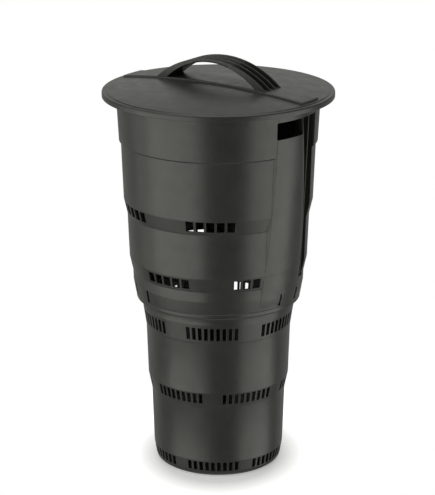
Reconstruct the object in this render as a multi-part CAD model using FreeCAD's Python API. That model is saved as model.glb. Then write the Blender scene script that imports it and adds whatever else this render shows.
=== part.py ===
import FreeCAD, Part
import math
import os

# A wormery: a tapering slotted bin in two nested mouldings, under a loose domed lid
# Millimetres and degrees, +Z up, origin on the floor under the middle of the base
# Angles run anticlockwise from +X, which points through the middle of one grip panel

# Moulded walls
WALL = 3.0
LOWER_DRAFT = 1.8
UPPER_DRAFT = 2.1
COLLAR_DRAFT = 3.0

# Base of the lower section
BASE_RADIUS = 91.4
BASE_CORNER_HEIGHT = 8.0
BASE_CORNER_INSET = 5.8
BASE_CORNER_BULGE = 1.6
DRAIN_DIAMETER = 9.0
DRAIN_RINGS = 1
DRAIN_RING_SPACING = 48.0

# Tier walls, steps and slotted bands, named from the floor up
FOOT_BAND_HEIGHT = 18.0
FOOT_BAND_INSET = 3.0
FOOT_WALL_HEIGHT = 88.0
FOOT_STEP_HEIGHT = 6.0
FOOT_STEP_INSET = 2.4
WAIST_BAND_HEIGHT = 20.0
WAIST_BAND_INSET = 2.9
WAIST_WALL_HEIGHT = 77.0
WAIST_STEP_HEIGHT = 6.0
WAIST_STEP_INSET = 1.6
NECK_BAND_HEIGHT = 23.0
NECK_BAND_INSET = 3.4
NECK_HEIGHT = 18.0
CHEST_SHOULDER_HEIGHT = 20.0
CHEST_SHOULDER_INSET = 2.9
CHEST_WALL_HEIGHT = 11.0
CHEST_STEP_HEIGHT = 7.0
CHEST_STEP_INSET = 1.5
CHEST_BAND_HEIGHT = 19.5
CHEST_BAND_INSET = 3.7
BODY_WALL_HEIGHT = 65.0
BODY_STEP_HEIGHT = 6.0
BODY_STEP_INSET = 1.5
BODY_BAND_HEIGHT = 19.5
BODY_BAND_INSET = 3.9
HEAD_WALL_HEIGHT = 83.5
HEAD_STEP_HEIGHT = 5.0
HEAD_STEP_INSET = 2.9
COLLAR_HEIGHT = 54.5

# Slots in the bands
GROUPS = 6
WIDE_SLOTS = 5
WIDE_SLOT_WIDTH = 12.2
FINE_SLOTS = 9
FINE_SLOT_WIDTH = 6.1
SLOT_BAR = 3.0
FOOT_SLOT_LIFT = 1.1
FOOT_SLOT_HEIGHT = 15.0
WAIST_SLOT_LIFT = 1.5
WAIST_SLOT_HEIGHT = 16.5
NECK_SLOT_LIFT = 2.8
NECK_SLOT_HEIGHT = 19.0
CHEST_SLOT_LIFT = 1.7
CHEST_SLOT_HEIGHT = 15.0
BODY_SLOT_LIFT = 2.4
BODY_SLOT_HEIGHT = 16.0

# Snap joint between the two sections
LIP_ROUND_HEIGHT = 16.0
LIP_ROUND_INSET = 9.6
LIP_ROUND_BULGE = 1.3
LIP_SEAT_HEIGHT = 8.0
NECK_CLEARANCE = 0.3
NECK_FLANGE_OVERHANG = 4.0
NECK_FLANGE_THICKNESS = 3.0
SNAPS = 3
SNAP_SPREAD = 19.0
SNAP_SLIT_WIDTH = 4.4
SNAP_SLIT_HEIGHT = 20.0
SNAP_SLIT_LIFT = 15.0
SNAP_BEAD_SPREAD = 12.0
SNAP_BEAD_DEPTH = 2.2
SNAP_BEAD_HEIGHT = 4.0
SNAP_BEAD_CLEARANCE = 0.3

# Rim of the upper section
RIM_OVERHANG = 13.05
RIM_HEIGHT = 20.0
RIM_THICKNESS = 3.5
RIM_EDGE_THICKNESS = 3.0
RIM_EDGE_HEIGHT = 7.5
RIM_EDGE_ROUND = 1.5
RIM_INNER_ROUND = 6.5
RIM_ROOT_BULGE = 3.6

# Grip panels, one on each side
PANEL_START = -22.0
PANEL_END = 13.0
PANEL_RAMP = 60.0
PANEL_PROUD = 0.5
PANEL_BULGE = 3.5
PANEL_FOOT_LIFT = 30.0
PANEL_FOOT_PROUD = 1.6
PANEL_FOOT_CHAMFER = 7.0
GRIP_START = -20.9
GRIP_END = 0.3
GRIP_HEIGHT = 25.0
GRIP_CORNER = 3.0
CHANNEL_TOP_START = 1.8
CHANNEL_TOP_END = 15.5
CHANNEL_FOOT_START = 10.4
CHANNEL_FOOT_END = 19.4
CHANNEL_TOP_DEPTH = 15.2
CHANNEL_FOOT_DEPTH = 2.6
CHANNEL_FOOT_LIFT = 22.0
CHANNEL_TOP_CHAMFER = 1.5
CHANNEL_FOOT_CHAMFER = 3.0
PANEL_SLOT_GAP = 4.0
FIN_THICKNESS = 2.5
FIN_RECESS_TOP = 4.4
FIN_RECESS_FOOT = 0.8

# Lid
LID_RIM_CLEARANCE = 6.5
LID_THICKNESS = 3.0
LID_DOME = 11.0
LID_EDGE_WIDTH = 7.0
LID_EDGE_STEP = 1.2
LID_EDGE_ROUND = 3.0
LID_SKIRT_HEIGHT = 8.5
LID_SKIRT_THICKNESS = 2.5
LID_RING_CLEARANCE = 0.8
LID_RING_HEIGHT = 6.0
LID_RING_THICKNESS = 2.5
STRAP_END_GAP = 4.0
STRAP_MARGIN = 1.0
STRAP_HEIGHT = 2.5

# Lid handle
HANDLE_WIDTH = 42.0
HANDLE_INNER_HALF_SPAN = 76.0
HANDLE_INNER_RISE = 28.5
HANDLE_FOOT_DEPTH = 18.0
HANDLE_CROWN_DEPTH = 5.0
HANDLE_WEB = 2.5
HANDLE_SIDE = 2.5
HANDLE_RIBS = 2
HANDLE_RIB_THICKNESS = 2.0
TAB_WIDTH = 24.0
TAB_THICKNESS = 2.2
TAB_SETBACK = 0.9
TAB_ROOT = 1.0
TAB_DROP = 5.0
TAB_BARB = 1.2
TAB_CLEARANCE = 0.3

# Flats that stand for a small rounded edge, and the room that cutting solids take beyond what they cut
ROUND_FLAT_COUNT = 2
MARGIN = 10.0

ORIGIN = FreeCAD.Vector(0, 0, 0)
UP = FreeCAD.Vector(0, 0, 1)


def growth(height, draft):
    return height * math.tan(math.radians(draft))


# Heights and radii of the outline, worked out from the floor up

foot_band = (BASE_RADIUS + BASE_CORNER_INSET, BASE_CORNER_HEIGHT)
foot_wall = (foot_band[0] + FOOT_BAND_INSET, foot_band[1] + FOOT_BAND_HEIGHT)
foot_step = (foot_wall[0] + growth(FOOT_WALL_HEIGHT, LOWER_DRAFT), foot_wall[1] + FOOT_WALL_HEIGHT)
waist_band = (foot_step[0] + FOOT_STEP_INSET, foot_step[1] + FOOT_STEP_HEIGHT)
waist_wall = (waist_band[0] + WAIST_BAND_INSET, waist_band[1] + WAIST_BAND_HEIGHT)
waist_step = (waist_wall[0] + growth(WAIST_WALL_HEIGHT, LOWER_DRAFT), waist_wall[1] + WAIST_WALL_HEIGHT)
neck_band = (waist_step[0] + WAIST_STEP_INSET, waist_step[1] + WAIST_STEP_HEIGHT)
neck = (neck_band[0] + NECK_BAND_INSET, neck_band[1] + NECK_BAND_HEIGHT)
neck_top = (neck[0] + growth(NECK_HEIGHT, LOWER_DRAFT), neck[1] + NECK_HEIGHT)

lip_hole = neck_top[0] + NECK_CLEARANCE
lip_bottom = neck_top[1] - LIP_SEAT_HEIGHT
lip_start = (lip_hole + LIP_ROUND_BULGE / 2, lip_bottom)
shoulder = (lip_start[0] + LIP_ROUND_INSET, lip_bottom + LIP_ROUND_HEIGHT)
chest_wall = (shoulder[0] + CHEST_SHOULDER_INSET, shoulder[1] + CHEST_SHOULDER_HEIGHT)
chest_step = (chest_wall[0] + growth(CHEST_WALL_HEIGHT, UPPER_DRAFT), chest_wall[1] + CHEST_WALL_HEIGHT)
chest_band = (chest_step[0] + CHEST_STEP_INSET, chest_step[1] + CHEST_STEP_HEIGHT)
body_wall = (chest_band[0] + CHEST_BAND_INSET, chest_band[1] + CHEST_BAND_HEIGHT)
body_step = (body_wall[0] + growth(BODY_WALL_HEIGHT, UPPER_DRAFT), body_wall[1] + BODY_WALL_HEIGHT)
body_band = (body_step[0] + BODY_STEP_INSET, body_step[1] + BODY_STEP_HEIGHT)
head_wall = (body_band[0] + BODY_BAND_INSET, body_band[1] + BODY_BAND_HEIGHT)
head_step = (head_wall[0] + growth(HEAD_WALL_HEIGHT, UPPER_DRAFT), head_wall[1] + HEAD_WALL_HEIGHT)
collar = (head_step[0] + HEAD_STEP_INSET, head_step[1] + HEAD_STEP_HEIGHT)
rim_root = (collar[0] + growth(COLLAR_HEIGHT, COLLAR_DRAFT), collar[1] + COLLAR_HEIGHT)
rim_top = rim_root[1] + RIM_HEIGHT
rim_radius = rim_root[0] + RIM_OVERHANG
flange_radius = lip_hole + NECK_FLANGE_OVERHANG
lid_top = rim_top + LID_THICKNESS
lid_radius = rim_radius + LID_RIM_CLEARANCE + LID_SKIRT_THICKNESS
dome_radius = lid_radius - LID_EDGE_WIDTH


def point(radius, z):
    return FreeCAD.Vector(radius, 0, z)


def polar(radius, angle, z):
    turn = math.radians(angle)
    return FreeCAD.Vector(radius * math.cos(turn), radius * math.sin(turn), z)


def line(start, end):
    return Part.LineSegment(start, end).toShape()


def arc(start, end, bulge):
    # A circular arc whose middle stands off its chord, to the right of the way from start to end
    chord = end - start
    side = FreeCAD.Vector(chord.z, 0, -chord.x).normalize()
    return Part.Arc(start, (start + end) * 0.5 + side * bulge, end)


def rounded(start, end, bulge, flats=ROUND_FLAT_COUNT):
    # The points that cut such an arc into a few equal flats, both ends included
    curve = arc(start, end, bulge)
    span = curve.LastParameter - curve.FirstParameter
    return [curve.value(curve.FirstParameter + span * step / flats) for step in range(flats + 1)]


def corner_bulge(radius):
    # How far a quarter circle's middle stands off its chord
    return radius * (1.0 - math.sqrt(0.5))


def path(points):
    return [line(a, b) for a, b in zip(points, points[1:])]


def close_on_axis(edges):
    # Joins an open outline in the XZ plane to the Z axis, and gives its face
    first = edges[0].Vertexes[0].Point
    last = edges[-1].Vertexes[-1].Point
    return Part.Face(Part.Wire(edges + path([last, point(0, last.z), point(0, first.z), first])))


def spin(face, start=0.0, sweep=360.0):
    solid = face.revolve(ORIGIN, UP, sweep)
    solid.rotate(ORIGIN, UP, start)
    return solid


def sector(corners, angle, spread):
    # An outline in the XZ plane, swept to both sides of an angle
    return spin(Part.Face(Part.makePolygon(corners + corners[:1])), angle - spread / 2, spread)


def slot(radius, width, bottom, height, angle):
    # A block through a wall, between two upright planes that hold the axis
    inner = radius - 2 * MARGIN
    outer = radius + 2 * MARGIN
    top = bottom + height
    corners = [point(inner, bottom), point(outer, bottom), point(outer, top), point(inner, top)]
    return sector(corners, angle, math.degrees(width / radius))


def on_panel(angle):
    # Whether a slot at this angle would run into one of the two grip panels
    turn = (angle + 90.0) % 180.0 - 90.0
    return PANEL_START - PANEL_SLOT_GAP < turn < CHANNEL_FOOT_END + PANEL_SLOT_GAP


def slots(band, count, width, lift, height, angles):
    # One group of upright slots at each angle, spaced along the band
    radius = band[0]
    pitch = math.degrees((width + SLOT_BAR) / radius)
    places = [angle + (index - (count - 1) / 2) * pitch for angle in angles for index in range(count)]
    if band[1] > neck_top[1]:
        places = [place for place in places if not on_panel(place)]
    return [slot(radius, width, band[1] + lift, height, place) for place in places]


def around(count, start=0.0):
    return [start + index * 360.0 / count for index in range(count)]


def drains():
    # A middle hole and rings of six, then twelve, and so on around it
    tools = []
    for ring in range(DRAIN_RINGS + 1):
        for angle in around(max(1, 6 * ring)):
            centre = polar(ring * DRAIN_RING_SPACING, angle, -MARGIN)
            tools.append(Part.makeCylinder(DRAIN_DIAMETER / 2, WALL + 2 * MARGIN, centre))
    return tools


def lower_outline(inset):
    base = BASE_RADIUS - inset
    corner = point(foot_band[0] - inset, foot_band[1])
    walls = [foot_band, foot_wall, foot_step, waist_band, waist_wall, waist_step, neck_band, neck, neck_top]
    corner_points = rounded(point(base, inset), corner, BASE_CORNER_BULGE)
    return path(corner_points[:-1] + [point(radius - inset, z) for radius, z in walls])


def lower_section():
    # The tapering pot that stands on the floor and hangs from the lip above it by its flange
    outer = spin(close_on_axis(lower_outline(0.0)))
    flange = Part.makeCylinder(flange_radius, NECK_FLANGE_THICKNESS, point(0, neck_top[1]))
    cavity = spin(close_on_axis(lower_outline(WALL)))
    mouth = Part.makeCylinder(neck_top[0] - WALL, NECK_FLANGE_THICKNESS + MARGIN, point(0, neck_top[1]))
    cutters = slots(foot_band, FINE_SLOTS, FINE_SLOT_WIDTH, FOOT_SLOT_LIFT, FOOT_SLOT_HEIGHT, around(GROUPS))
    cutters += slots(waist_band, FINE_SLOTS, FINE_SLOT_WIDTH, WAIST_SLOT_LIFT, WAIST_SLOT_HEIGHT,
                     around(GROUPS, 180.0 / GROUPS))
    cutters += slots(neck_band, FINE_SLOTS, FINE_SLOT_WIDTH, NECK_SLOT_LIFT, NECK_SLOT_HEIGHT, around(GROUPS))
    return outer.fuse(flange).cut([cavity, mouth] + cutters + drains()).removeSplitter()


def upper_walls(inset):
    walls = [shoulder, chest_wall, chest_step, chest_band, body_wall, body_step, body_band, head_wall]
    walls += [head_step, collar, rim_root]
    return [point(radius - inset, z) for radius, z in walls]


def upper_outer():
    walls = upper_walls(0.0)
    edge_inner = rim_radius - RIM_EDGE_THICKNESS
    under = point(edge_inner, rim_top - RIM_THICKNESS)
    edge_low = [point(edge_inner, rim_top - RIM_EDGE_HEIGHT), point(rim_radius, rim_top - RIM_EDGE_HEIGHT)]
    edge_top = point(rim_radius, rim_top - RIM_EDGE_ROUND)
    top = point(rim_radius - RIM_EDGE_ROUND, rim_top)
    points = rounded(point(*lip_start), walls[0], LIP_ROUND_BULGE)[:-1] + walls[:-1]
    points += rounded(walls[-1], under, -RIM_ROOT_BULGE) + edge_low
    points += rounded(edge_top, top, corner_bulge(RIM_EDGE_ROUND))
    return spin(close_on_axis(path(points)))


def upper_cavity():
    walls = upper_walls(WALL)
    inner = walls[-1].x
    round_start = point(inner, rim_top - RIM_INNER_ROUND)
    round_end = point(inner + RIM_INNER_ROUND, rim_top)
    points = [point(lip_hole, lip_bottom - MARGIN), point(lip_hole, neck_top[1])]
    points += [point(flange_radius + NECK_CLEARANCE, neck_top[1])] + walls
    points += rounded(round_start, round_end, -corner_bulge(RIM_INNER_ROUND))
    points.append(point(round_end.x, rim_top + MARGIN))
    return spin(close_on_axis(path(points)))


panel_top = (rim_root[0] + PANEL_PROUD, rim_root[1])
panel_foot_proud = PANEL_FOOT_PROUD + growth(PANEL_FOOT_LIFT, UPPER_DRAFT)
panel_foot = (shoulder[0] + panel_foot_proud, lip_bottom + PANEL_FOOT_LIFT)
channel_foot = panel_foot[1] + CHANNEL_FOOT_LIFT


def panel(inset):
    # A smooth upright face that bridges the tiers, with a slanted start and a chamfered foot
    top = point(panel_top[0] - inset, panel_top[1])
    foot = point(panel_foot[0] - inset, panel_foot[1])
    toe = point(foot.x - PANEL_FOOT_CHAMFER / 2, foot.z - PANEL_FOOT_CHAMFER)
    face = arc(foot, top, PANEL_BULGE).toShape()
    edges = [line(toe, foot), face, line(top, point(top.x, top.z + RIM_THICKNESS))]
    sector = spin(close_on_axis(edges), PANEL_START - PANEL_RAMP, PANEL_END - PANEL_START + 2 * PANEL_RAMP)
    shift = math.degrees(inset / panel_top[0])
    plan = [ORIGIN]
    for angle, side in ((PANEL_START + shift, -1), (PANEL_END - shift, 1)):
        corner = polar(panel_top[0] - inset, angle, 0)
        down_ramp = polar(4 * MARGIN, angle + side * (90.0 + PANEL_RAMP), 0)
        ramp = [corner + down_ramp, corner - down_ramp]
        plan += ramp if side < 0 else ramp[::-1]
    wedge = Part.Face(Part.makePolygon(plan + [ORIGIN])).extrude(UP * (rim_top + MARGIN))
    return sector.common(wedge)


def panel_line(z):
    # The radius at a height on the straight line from the panel's foot to its top
    share = (z - panel_foot[1]) / (panel_top[1] - panel_foot[1])
    return panel_foot[0] + (panel_top[0] - panel_foot[0]) * share


def channel(grow):
    # A tapering upright recess beside the grip, from under the rim to the foot of the panel
    # Its edge towards the grip is bevelled at half a right angle
    outlines = []
    ends = [(channel_foot - grow, panel_line(channel_foot), panel_foot[0] - CHANNEL_FOOT_DEPTH,
             CHANNEL_FOOT_CHAMFER, CHANNEL_FOOT_START, CHANNEL_FOOT_END),
            (rim_root[1] + grow, panel_top[0], panel_top[0] - CHANNEL_TOP_DEPTH,
             CHANNEL_TOP_CHAMFER, CHANNEL_TOP_START, CHANNEL_TOP_END)]
    for z, surface, floor, chamfer, start, end in ends:
        extra = math.degrees(grow / floor)
        bevel = surface - chamfer - grow * (math.sqrt(2.0) - 1.0)
        flare = math.degrees((rim_radius - bevel) / rim_radius)
        corners = [polar(floor - grow, start - extra, z), polar(bevel, start - extra, z)]
        corners += [polar(rim_radius, start - extra - flare, z), polar(rim_radius, end + extra, z)]
        corners.append(polar(floor - grow, end + extra, z))
        outlines.append(Part.makePolygon(corners + corners[:1]))
    return Part.makeLoft(outlines, True, True)


def fin():
    # A thin upright rib in the middle of the channel
    quads = []
    ends = [(channel_foot, panel_foot[0] - CHANNEL_FOOT_DEPTH, panel_foot[0] - FIN_RECESS_FOOT,
             (CHANNEL_FOOT_START + CHANNEL_FOOT_END) / 2),
            (rim_root[1], panel_top[0] - CHANNEL_TOP_DEPTH, panel_top[0] - FIN_RECESS_TOP,
             (CHANNEL_TOP_START + CHANNEL_TOP_END) / 2)]
    for z, floor, tip, angle in ends:
        half = FIN_THICKNESS / 2
        corners = [point(floor - WALL / 2, z), point(tip, z), point(tip, z), point(floor - WALL / 2, z)]
        for corner, side in zip(corners, (-half, -half, half, half)):
            corner.y = side
        turned = [FreeCAD.Rotation(UP, angle).multVec(corner) for corner in corners]
        quads.append(Part.makePolygon(turned + turned[:1]))
    return Part.makeLoft(quads, True, True)


def grip():
    # The hand hole through the panel, close under the rim
    low = rim_root[1] - GRIP_HEIGHT
    corners = [point(panel_foot[0], low), point(rim_radius, low)]
    corners += [point(rim_radius, rim_root[1]), point(panel_foot[0], rim_root[1])]
    hole = sector(corners, (GRIP_START + GRIP_END) / 2, GRIP_END - GRIP_START)
    straight = [edge for edge in hole.Edges if edge.Curve.TypeId == "Part::GeomLine"]
    radial = [edge for edge in straight if edge.Vertexes[0].Z == edge.Vertexes[1].Z]
    return hole.makeFillet(GRIP_CORNER, radial)


def snap_bead(angle):
    # The inward bead between two slits, which holds the neck flange down
    bottom = neck_top[1] + NECK_FLANGE_THICKNESS + SNAP_BEAD_CLEARANCE
    buried = shoulder[0] - WALL / 2
    tip = flange_radius + NECK_CLEARANCE + WALL / 2 - SNAP_BEAD_DEPTH
    corners = [point(buried, bottom), point(tip, bottom), point(buried, bottom + SNAP_BEAD_HEIGHT)]
    return sector(corners, angle, SNAP_BEAD_SPREAD)


def upper_section():
    # The wide slotted tier with the rim, the grips and the lip that the lower section hangs from
    both = around(2)
    turned = []
    for shape in (panel(0.0), panel(WALL), channel(0.0), channel(WALL), fin(), grip()):
        turned.append([shape.rotated(ORIGIN, UP, angle) for angle in both])
    faces, hollows, channels, backs, fins, grips = turned
    outer = upper_outer().fuse(faces).cut(channels)
    cavity = upper_cavity().fuse(hollows).cut(backs)
    cutters = slots(chest_band, WIDE_SLOTS, WIDE_SLOT_WIDTH, CHEST_SLOT_LIFT, CHEST_SLOT_HEIGHT,
                    around(GROUPS, 180.0 / GROUPS))
    cutters += slots(body_band, WIDE_SLOTS, WIDE_SLOT_WIDTH, BODY_SLOT_LIFT, BODY_SLOT_HEIGHT, around(GROUPS))
    for angle in around(SNAPS):
        for side in (-0.5, 0.5):
            cutters.append(slot(shoulder[0], SNAP_SLIT_WIDTH, lip_bottom + SNAP_SLIT_LIFT, SNAP_SLIT_HEIGHT,
                                angle + side * SNAP_SPREAD))
    beads = [snap_bead(angle) for angle in around(SNAPS)]
    shell = outer.cut(cavity).fuse(fins + beads)
    return shell.cut(grips + cutters).removeSplitter()


def circle_over(half_span, rise):
    # Radius, and centre height above the feet, of the circle through both feet and the crown of an arch
    radius = (half_span ** 2 + rise ** 2) / (2 * rise)
    return radius, rise - radius


dome_curve, dome_centre = circle_over(dome_radius, LID_DOME)


def drum(radius, centre, width, offset=0.0):
    # A level cylinder along Y, which gives an arch over X
    start = FreeCAD.Vector(0, offset - width / 2, centre)
    return Part.makeCylinder(radius, width, start, FreeCAD.Vector(0, 1, 0))


def dome_solid(lift):
    # Everything under a spherical cap; the ball lies on its side, so that its poles stay clear of the lid
    floor = rim_top - LID_SKIRT_HEIGHT - MARGIN
    column = Part.makeCylinder(dome_radius, lid_top + lift + LID_DOME + MARGIN - floor, point(0, floor))
    ball = Part.makeSphere(dome_curve).rotated(ORIGIN, FreeCAD.Vector(0, 1, 0), 90.0)
    return ball.translated(point(0, lid_top + lift + dome_centre)).common(column)


def strap_solid(lift, inset):
    # The raised strip across the lid that carries the handle, bent along its length only
    width = HANDLE_WIDTH + 2 * STRAP_MARGIN - 2 * inset
    floor = rim_top - LID_SKIRT_HEIGHT
    height = lid_top + LID_DOME + MARGIN - floor
    column = Part.makeCylinder(dome_radius - STRAP_END_GAP - inset, height, point(0, floor))
    return column.common(drum(dome_curve, lid_top + lift + dome_centre, width))


def dome_height(along, lift):
    return lid_top + lift + dome_centre + math.sqrt(dome_curve ** 2 - along ** 2)


def lid_band():
    # The stepped edge of the lid and its skirt
    step = lid_top - LID_EDGE_STEP
    skirt = lid_top - LID_EDGE_STEP - LID_SKIRT_HEIGHT
    inner = lid_radius - LID_SKIRT_THICKNESS
    hub = dome_radius - LID_THICKNESS
    round_start = point(lid_radius, step - LID_EDGE_ROUND)
    round_end = point(lid_radius - LID_EDGE_ROUND, step)
    points = [point(hub, rim_top), point(inner, rim_top), point(inner, skirt), point(lid_radius, skirt)]
    points += rounded(round_start, round_end, corner_bulge(LID_EDGE_ROUND))
    points += [point(dome_radius + LID_EDGE_STEP, step), point(dome_radius, lid_top)]
    points += [point(hub, lid_top), point(hub, rim_top)]
    return spin(Part.Face(Part.Wire(path(points))))


def tab(side, grow=0.0):
    # A flat tab that carries the handle's web on down through the lid
    low = dome_height(HANDLE_INNER_HALF_SPAN, STRAP_HEIGHT - LID_THICKNESS) - TAB_DROP
    high = dome_height(HANDLE_INNER_HALF_SPAN, STRAP_HEIGHT) + TAB_ROOT
    length = TAB_THICKNESS + 2 * grow
    width = TAB_WIDTH + 2 * grow
    corner = FreeCAD.Vector(HANDLE_INNER_HALF_SPAN + TAB_SETBACK - grow, -width / 2, low)
    block = Part.makeBox(length, width, high - low, corner)
    return block.rotated(ORIGIN, UP, 90.0 - 90.0 * side)


def barb(side):
    # The catch on the end of a tab, which holds under the lid
    face_x = HANDLE_INNER_HALF_SPAN + TAB_SETBACK + TAB_THICKNESS
    top = dome_height(face_x + TAB_BARB, STRAP_HEIGHT - LID_THICKNESS) - TAB_CLEARANCE
    low = dome_height(HANDLE_INNER_HALF_SPAN, STRAP_HEIGHT - LID_THICKNESS) - TAB_DROP
    corners = [point(face_x - TAB_BARB, top), point(face_x + TAB_BARB, top), point(face_x, low)]
    corners.append(point(face_x - TAB_BARB, low))
    for corner in corners:
        corner.y = -TAB_WIDTH / 2
    wedge = Part.Face(Part.makePolygon(corners + corners[:1])).extrude(FreeCAD.Vector(0, TAB_WIDTH, 0))
    return wedge.rotated(ORIGIN, UP, 90.0 - 90.0 * side)


def lid():
    # The loose domed cover, with a locating ring inside the rim and a skirt outside it
    above = dome_solid(0.0).fuse(strap_solid(STRAP_HEIGHT, 0.0))
    under = dome_solid(-LID_THICKNESS).fuse(strap_solid(STRAP_HEIGHT - LID_THICKNESS, WALL))
    trim = Part.makeCylinder(lid_radius, lid_top + LID_DOME, point(0, rim_top - lid_top - LID_DOME))
    plate = above.cut([under, trim])
    ring_outer = rim_root[0] - WALL - LID_RING_CLEARANCE
    ring_height = LID_RING_HEIGHT + LID_DOME
    ring_foot = point(0, rim_top - LID_RING_HEIGHT)
    ring = Part.makeCylinder(ring_outer, ring_height, ring_foot)
    ring = ring.cut(Part.makeCylinder(ring_outer - LID_RING_THICKNESS, ring_height, ring_foot))
    ring = ring.common(dome_solid(-LID_THICKNESS / 2))
    seat = [point(ring_outer - LID_RING_THICKNESS, rim_top), point(dome_radius, rim_top)]
    seat += [point(dome_radius, lid_top), point(ring_outer - LID_RING_THICKNESS, lid_top)]
    flat = spin(Part.Face(Part.makePolygon(seat + seat[:1]))).common(dome_solid(0.0))
    whole = plate.fuse([flat, ring, lid_band()])
    return whole.cut([tab(side, TAB_CLEARANCE) for side in (-1, 1)]).removeSplitter()


def lid_handle():
    # An arched strap handle, open along its top between side walls and ribs
    base = lid_top + LID_DOME + STRAP_HEIGHT
    outer_half_span = HANDLE_INNER_HALF_SPAN + HANDLE_FOOT_DEPTH
    outer, outer_centre = circle_over(outer_half_span, HANDLE_INNER_RISE + HANDLE_CROWN_DEPTH)
    inner, inner_centre = circle_over(HANDLE_INNER_HALF_SPAN, HANDLE_INNER_RISE)
    arch = drum(outer, base + outer_centre, HANDLE_WIDTH)
    arch = arch.cut(drum(inner, base + inner_centre, HANDLE_WIDTH + 2 * MARGIN))
    keep = Part.makeBox(4 * outer_half_span, 2 * HANDLE_WIDTH, 2 * outer_half_span,
                        FreeCAD.Vector(-2 * outer_half_span, -HANDLE_WIDTH, lid_top))
    seat = drum(dome_curve, lid_top + STRAP_HEIGHT + dome_centre, HANDLE_WIDTH + 2 * MARGIN)
    arch = arch.common(keep).cut(seat)
    width = (HANDLE_WIDTH - 2 * HANDLE_SIDE - HANDLE_RIBS * HANDLE_RIB_THICKNESS) / (HANDLE_RIBS + 1)
    for index in range(HANDLE_RIBS + 1):
        offset = (index - HANDLE_RIBS / 2) * (width + HANDLE_RIB_THICKNESS)
        trough = drum(outer + MARGIN, base + outer_centre, width, offset)
        arch = arch.cut(trough.cut(drum(inner + HANDLE_WEB, base + inner_centre, width, offset)))
    return arch.fuse([piece(side) for side in (-1, 1) for piece in (tab, barb)])


SECTIONS = {
    "lower_section": lower_section,
    "upper_section": upper_section,
    "lid": lid,
    "lid_handle": lid_handle,
}

os.makedirs("parts", exist_ok=True)
for name, build in SECTIONS.items():
    solid = build()
    solid.exportStep(os.path.join("parts", name + ".step"))
    box = solid.optimalBoundingBox()
    print(name, solid.ShapeType, len(solid.Solids), "solid", solid.isValid(), round(solid.Volume),
          "x", round(box.XMin, 2), round(box.XMax, 2), "z", round(box.ZMin, 2), round(box.ZMax, 2))
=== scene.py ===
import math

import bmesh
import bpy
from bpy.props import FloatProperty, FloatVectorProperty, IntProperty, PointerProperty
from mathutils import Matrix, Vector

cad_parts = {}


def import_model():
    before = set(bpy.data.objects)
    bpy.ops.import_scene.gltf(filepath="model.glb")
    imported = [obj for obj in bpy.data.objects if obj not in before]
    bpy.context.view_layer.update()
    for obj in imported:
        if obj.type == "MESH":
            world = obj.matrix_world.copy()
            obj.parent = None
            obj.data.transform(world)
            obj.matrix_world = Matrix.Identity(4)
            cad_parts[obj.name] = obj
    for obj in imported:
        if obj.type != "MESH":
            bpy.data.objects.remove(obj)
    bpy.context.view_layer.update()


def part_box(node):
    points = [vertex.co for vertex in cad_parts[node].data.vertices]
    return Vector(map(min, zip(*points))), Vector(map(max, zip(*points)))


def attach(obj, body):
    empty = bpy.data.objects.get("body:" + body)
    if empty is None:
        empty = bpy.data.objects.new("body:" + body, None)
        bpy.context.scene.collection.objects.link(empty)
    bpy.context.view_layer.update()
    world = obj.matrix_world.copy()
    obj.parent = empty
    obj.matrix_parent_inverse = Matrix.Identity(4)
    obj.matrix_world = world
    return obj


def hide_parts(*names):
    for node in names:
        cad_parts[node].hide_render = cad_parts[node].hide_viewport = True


bl_info = {
    "name": "Wormery",
    "version": (1, 0, 0),
    "blender": (4, 5, 0),
    "location": "View3D > Sidebar > Wormery",
    "description": "A tapering slotted worm bin in two mouldings, with a domed lid and an arched handle",
    "category": "Add Mesh",
}

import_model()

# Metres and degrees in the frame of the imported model: +Z up, +X through the middle of one grip panel
BASE_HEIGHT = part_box("lower_section")[0][2]
FLANGE_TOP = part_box("lower_section")[1][2]
FLANGE_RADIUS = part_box("lower_section")[1][1]
LIP_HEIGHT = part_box("upper_section")[0][2]
RIM_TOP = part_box("upper_section")[1][2]
RIM_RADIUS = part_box("upper_section")[1][1]
LID_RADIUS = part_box("lid")[1][1]
SKIRT_DROP = 0.0067
SKIRT_FOOT = RIM_TOP - SKIRT_DROP
HANDLE_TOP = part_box("lid_handle")[1][2]

# Courses of the walls from the floor up: height, widening, and the rounding at the course's top.
# Where the widening is None or a name, it follows that draft of the mould.
BASE_RADIUS = 0.0912
LOWER_COURSES = (
    ("base heel", 0.0030, 0.0046, 0.0040),
    ("base corner", 0.0050, 0.0014, 0.0060),
    ("foot band", 0.0180, 0.0030, 0.0080),
    ("foot wall", 0.0905, None, 0.0),
    ("foot step", 0.0020, 0.0007, 0.0010),
    ("waist band", 0.0215, 0.0045, 0.0050),
    ("waist wall", 0.0795, None, 0.0),
    ("waist step", 0.0020, 0.0006, 0.0010),
    ("neck band", 0.0295, 0.0045, 0.0050),
    ("neck", 0.0130, None, 0.0),
)
LIP_RADIUS = 0.1172
UPPER_COURSES = (
    ("lip skirt", 0.0055, 0.0006, 0.0010),
    ("lip round", 0.0025, 0.0072, 0.0030),
    ("shoulder", 0.0068, 0.0005, 0.0010),
    ("shoulder step", 0.0012, 0.0007, 0.0005),
    ("chest shoulder", 0.0200, 0.0035, 0.0050),
    ("chest wall", 0.0155, None, 0.0020),
    ("chest step", 0.0020, 0.0006, 0.0010),
    ("chest band", 0.0200, 0.0044, 0.0050),
    ("body wall", 0.0680, None, 0.0020),
    ("body step", 0.0020, 0.0006, 0.0010),
    ("body band", 0.0205, 0.0048, 0.0050),
    ("head wall", 0.0881, None, 0.0010),
    ("head step", 0.0020, 0.0028, 0.0010),
    ("collar", 0.0529, "collar", 0.0),
)

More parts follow.
